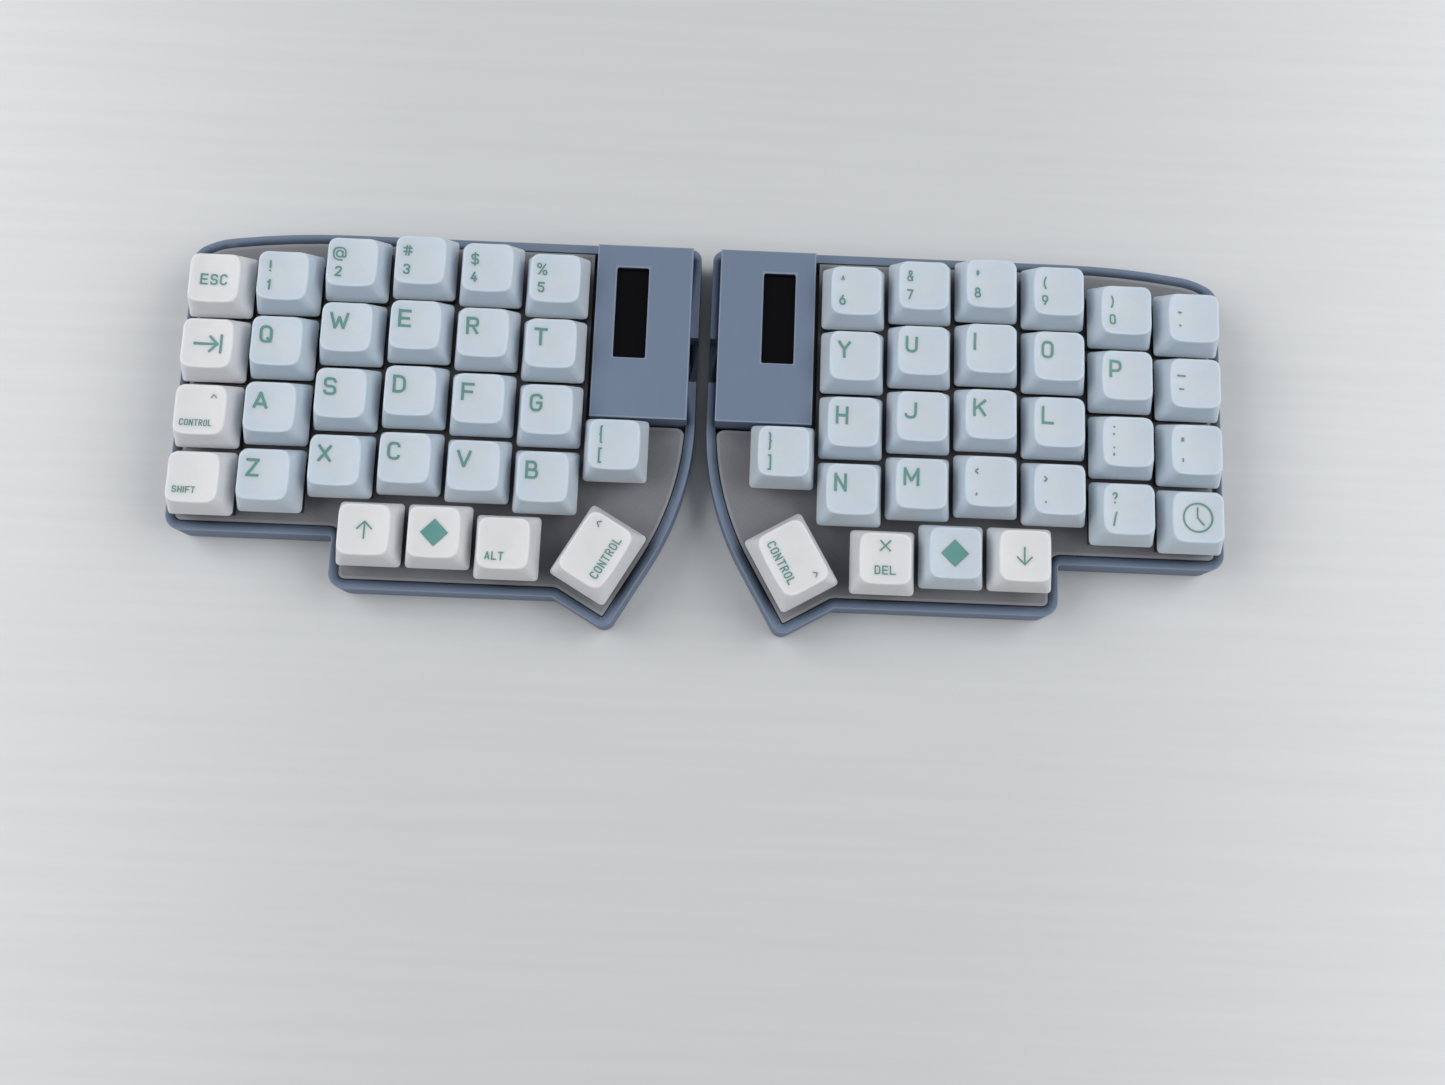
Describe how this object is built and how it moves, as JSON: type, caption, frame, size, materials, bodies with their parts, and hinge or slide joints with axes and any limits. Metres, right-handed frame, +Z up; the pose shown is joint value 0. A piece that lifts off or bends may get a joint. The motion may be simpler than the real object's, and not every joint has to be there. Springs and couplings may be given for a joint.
{
  "type": "ergonomic split keyboard",
  "caption": "Split keyboard of two mirrored halves with staggered columns of dished keys, angled thumb keys, printed tray cases and a small screen under a cover on each half.",
  "frame": {"origin": "middle of the whole keyboard on the desk, below the gap between the halves", "axes": "+X to the typist's right, +Y away from the typist, +Z up from the desk"},
  "size_m": [0.2992, 0.1118, 0.0264],
  "materials": {
    "case_print": "printed, blue-grey, fine layer lines",
    "plate_print": "printed, mid grey, fine lines",
    "circuit_board": "black solder mask",
    "switch_plastic": "moulded, black",
    "controller": "board, header strips and a metal port",
    "screen": "dark glass front",
    "jack_plastic": "moulded, black",
    "screw_steel": "plain steel",
    "foot_rubber": "soft black rubber",
    "cap_blue": "moulded, pale blue, satin",
    "cap_white": "moulded, white, satin"
  },
  "bodies": {
    "left_half": {"left_case": "case_print", "left_switch_plate": "plate_print", "left_circuit_board": "circuit_board", "left_switch_housings": "switch_plastic", "left_controller": "controller", "left_screen": "screen", "left_screen_cover": "case_print", "left_link_jack": "jack_plastic", "left_screws": "screw_steel", "left_feet": "foot_rubber"},
    "right_half": {"right_case": "case_print", "right_switch_plate": "plate_print", "right_circuit_board": "circuit_board", "right_switch_housings": "switch_plastic", "right_controller": "controller", "right_screen": "screen", "right_screen_cover": "case_print", "right_link_jack": "jack_plastic", "right_screws": "screw_steel", "right_feet": "foot_rubber"},
    "key_q": {"key_q": "cap_blue"},
    "key_w": {"key_w": "cap_blue"},
    "key_e": {"key_e": "cap_blue"},
    "key_r": {"key_r": "cap_blue"},
    "key_t": {"key_t": "cap_blue"},
    "key_a": {"key_a": "cap_blue"},
    "key_s": {"key_s": "cap_blue"},
    "key_d": {"key_d": "cap_blue"},
    "key_f": {"key_f": "cap_blue"},
    "key_g": {"key_g": "cap_blue"},
    "key_z": {"key_z": "cap_blue"},
    "key_x": {"key_x": "cap_blue"},
    "key_c": {"key_c": "cap_blue"},
    "key_v": {"key_v": "cap_blue"},
    "key_b": {"key_b": "cap_blue"},
    "left_thumb_outer": {"left_thumb_outer": "cap_white"},
    "left_thumb_middle": {"left_thumb_middle": "cap_white"},
    "left_thumb_inner": {"left_thumb_inner": "cap_white"},
    "left_thumb_long": {"left_thumb_long": "cap_white"},
    "left_border_keys": {"left_border_keys": "cap_blue"},
    "key_y": {"key_y": "cap_blue"},
    "key_u": {"key_u": "cap_blue"},
    "key_i": {"key_i": "cap_blue"},
    "key_o": {"key_o": "cap_blue"},
    "key_p": {"key_p": "cap_blue"},
    "key_h": {"key_h": "cap_blue"},
    "key_j": {"key_j": "cap_blue"},
    "key_k": {"key_k": "cap_blue"},
    "key_l": {"key_l": "cap_blue"},
    "key_semicolon": {"key_semicolon": "cap_blue"},
    "key_n": {"key_n": "cap_blue"},
    "key_m": {"key_m": "cap_blue"},
    "key_comma": {"key_comma": "cap_blue"},
    "key_period": {"key_period": "cap_blue"},
    "key_slash": {"key_slash": "cap_blue"},
    "right_thumb_outer": {"right_thumb_outer": "cap_white"},
    "right_thumb_middle": {"right_thumb_middle": "cap_blue"},
    "right_thumb_inner": {"right_thumb_inner": "cap_white"},
    "right_thumb_long": {"right_thumb_long": "cap_white"},
    "right_border_keys": {"right_border_keys": "cap_blue"}
  },
  "joints": [
    {"name": "half_spacing", "type": "slide", "parent": "left_half", "child": "right_half", "axis": [1, 0, 0], "range_m": [0, 0.15]},
    {"name": "key_q_press", "type": "slide", "parent": "left_half", "child": "key_q", "axis": [0, 0, -1], "range_m": [0, 0.004], "stiffness_N_per_m": 90, "springref_m": -0.0035},
    {"name": "key_w_press", "type": "slide", "parent": "left_half", "child": "key_w", "axis": [0, 0, -1], "range_m": [0, 0.004], "stiffness_N_per_m": 90, "springref_m": -0.0035},
    {"name": "key_e_press", "type": "slide", "parent": "left_half", "child": "key_e", "axis": [0, 0, -1], "range_m": [0, 0.004], "stiffness_N_per_m": 90, "springref_m": -0.0035},
    {"name": "key_r_press", "type": "slide", "parent": "left_half", "child": "key_r", "axis": [0, 0, -1], "range_m": [0, 0.004], "stiffness_N_per_m": 90, "springref_m": -0.0035},
    {"name": "key_t_press", "type": "slide", "parent": "left_half", "child": "key_t", "axis": [0, 0, -1], "range_m": [0, 0.004], "stiffness_N_per_m": 90, "springref_m": -0.0035},
    {"name": "key_a_press", "type": "slide", "parent": "left_half", "child": "key_a", "axis": [0, 0, -1], "range_m": [0, 0.004], "stiffness_N_per_m": 90, "springref_m": -0.0035},
    {"name": "key_s_press", "type": "slide", "parent": "left_half", "child": "key_s", "axis": [0, 0, -1], "range_m": [0, 0.004], "stiffness_N_per_m": 90, "springref_m": -0.0035},
    {"name": "key_d_press", "type": "slide", "parent": "left_half", "child": "key_d", "axis": [0, 0, -1], "range_m": [0, 0.004], "stiffness_N_per_m": 90, "springref_m": -0.0035},
    {"name": "key_f_press", "type": "slide", "parent": "left_half", "child": "key_f", "axis": [0, 0, -1], "range_m": [0, 0.004], "stiffness_N_per_m": 90, "springref_m": -0.0035},
    {"name": "key_g_press", "type": "slide", "parent": "left_half", "child": "key_g", "axis": [0, 0, -1], "range_m": [0, 0.004], "stiffness_N_per_m": 90, "springref_m": -0.0035},
    {"name": "key_z_press", "type": "slide", "parent": "left_half", "child": "key_z", "axis": [0, 0, -1], "range_m": [0, 0.004], "stiffness_N_per_m": 90, "springref_m": -0.0035},
    {"name": "key_x_press", "type": "slide", "parent": "left_half", "child": "key_x", "axis": [0, 0, -1], "range_m": [0, 0.004], "stiffness_N_per_m": 90, "springref_m": -0.0035},
    {"name": "key_c_press", "type": "slide", "parent": "left_half", "child": "key_c", "axis": [0, 0, -1], "range_m": [0, 0.004], "stiffness_N_per_m": 90, "springref_m": -0.0035},
    {"name": "key_v_press", "type": "slide", "parent": "left_half", "child": "key_v", "axis": [0, 0, -1], "range_m": [0, 0.004], "stiffness_N_per_m": 90, "springref_m": -0.0035},
    {"name": "key_b_press", "type": "slide", "parent": "left_half", "child": "key_b", "axis": [0, 0, -1], "range_m": [0, 0.004], "stiffness_N_per_m": 90, "springref_m": -0.0035},
    {"name": "left_thumb_outer_press", "type": "slide", "parent": "left_half", "child": "left_thumb_outer", "axis": [0, 0, -1], "range_m": [0, 0.004], "stiffness_N_per_m": 90, "springref_m": -0.0035},
    {"name": "left_thumb_middle_press", "type": "slide", "parent": "left_half", "child": "left_thumb_middle", "axis": [0, 0, -1], "range_m": [0, 0.004], "stiffness_N_per_m": 90, "springref_m": -0.0035},
    {"name": "left_thumb_inner_press", "type": "slide", "parent": "left_half", "child": "left_thumb_inner", "axis": [0, 0, -1], "range_m": [0, 0.004], "stiffness_N_per_m": 90, "springref_m": -0.0035},
    {"name": "left_thumb_long_press", "type": "slide", "parent": "left_half", "child": "left_thumb_long", "axis": [0, 0, -1], "range_m": [0, 0.004], "stiffness_N_per_m": 90, "springref_m": -0.0035},
    {"name": "left_border_keys_press", "type": "slide", "parent": "left_half", "child": "left_border_keys", "axis": [0, 0, -1], "range_m": [0, 0.004], "stiffness_N_per_m": 900, "springref_m": -0.0035},
    {"name": "key_y_press", "type": "slide", "parent": "right_half", "child": "key_y", "axis": [0, 0, -1], "range_m": [0, 0.004], "stiffness_N_per_m": 90, "springref_m": -0.0035},
    {"name": "key_u_press", "type": "slide", "parent": "right_half", "child": "key_u", "axis": [0, 0, -1], "range_m": [0, 0.004], "stiffness_N_per_m": 90, "springref_m": -0.0035},
    {"name": "key_i_press", "type": "slide", "parent": "right_half", "child": "key_i", "axis": [0, 0, -1], "range_m": [0, 0.004], "stiffness_N_per_m": 90, "springref_m": -0.0035},
    {"name": "key_o_press", "type": "slide", "parent": "right_half", "child": "key_o", "axis": [0, 0, -1], "range_m": [0, 0.004], "stiffness_N_per_m": 90, "springref_m": -0.0035},
    {"name": "key_p_press", "type": "slide", "parent": "right_half", "child": "key_p", "axis": [0, 0, -1], "range_m": [0, 0.004], "stiffness_N_per_m": 90, "springref_m": -0.0035},
    {"name": "key_h_press", "type": "slide", "parent": "right_half", "child": "key_h", "axis": [0, 0, -1], "range_m": [0, 0.004], "stiffness_N_per_m": 90, "springref_m": -0.0035},
    {"name": "key_j_press", "type": "slide", "parent": "right_half", "child": "key_j", "axis": [0, 0, -1], "range_m": [0, 0.004], "stiffness_N_per_m": 90, "springref_m": -0.0035},
    {"name": "key_k_press", "type": "slide", "parent": "right_half", "child": "key_k", "axis": [0, 0, -1], "range_m": [0, 0.004], "stiffness_N_per_m": 90, "springref_m": -0.0035},
    {"name": "key_l_press", "type": "slide", "parent": "right_half", "child": "key_l", "axis": [0, 0, -1], "range_m": [0, 0.004], "stiffness_N_per_m": 90, "springref_m": -0.0035},
    {"name": "key_semicolon_press", "type": "slide", "parent": "right_half", "child": "key_semicolon", "axis": [0, 0, -1], "range_m": [0, 0.004], "stiffness_N_per_m": 90, "springref_m": -0.0035},
    {"name": "key_n_press", "type": "slide", "parent": "right_half", "child": "key_n", "axis": [0, 0, -1], "range_m": [0, 0.004], "stiffness_N_per_m": 90, "springref_m": -0.0035},
    {"name": "key_m_press", "type": "slide", "parent": "right_half", "child": "key_m", "axis": [0, 0, -1], "range_m": [0, 0.004], "stiffness_N_per_m": 90, "springref_m": -0.0035},
    {"name": "key_comma_press", "type": "slide", "parent": "right_half", "child": "key_comma", "axis": [0, 0, -1], "range_m": [0, 0.004], "stiffness_N_per_m": 90, "springref_m": -0.0035},
    {"name": "key_period_press", "type": "slide", "parent": "right_half", "child": "key_period", "axis": [0, 0, -1], "range_m": [0, 0.004], "stiffness_N_per_m": 90, "springref_m": -0.0035},
    {"name": "key_slash_press", "type": "slide", "parent": "right_half", "child": "key_slash", "axis": [0, 0, -1], "range_m": [0, 0.004], "stiffness_N_per_m": 90, "springref_m": -0.0035},
    {"name": "right_thumb_outer_press", "type": "slide", "parent": "right_half", "child": "right_thumb_outer", "axis": [0, 0, -1], "range_m": [0, 0.004], "stiffness_N_per_m": 90, "springref_m": -0.0035},
    {"name": "right_thumb_middle_press", "type": "slide", "parent": "right_half", "child": "right_thumb_middle", "axis": [0, 0, -1], "range_m": [0, 0.004], "stiffness_N_per_m": 90, "springref_m": -0.0035},
    {"name": "right_thumb_inner_press", "type": "slide", "parent": "right_half", "child": "right_thumb_inner", "axis": [0, 0, -1], "range_m": [0, 0.004], "stiffness_N_per_m": 90, "springref_m": -0.0035},
    {"name": "right_thumb_long_press", "type": "slide", "parent": "right_half", "child": "right_thumb_long", "axis": [0, 0, -1], "range_m": [0, 0.004], "stiffness_N_per_m": 90, "springref_m": -0.0035},
    {"name": "right_border_keys_press", "type": "slide", "parent": "right_half", "child": "right_border_keys", "axis": [0, 0, -1], "range_m": [0, 0.004], "stiffness_N_per_m": 900, "springref_m": -0.0035}
  ]
}
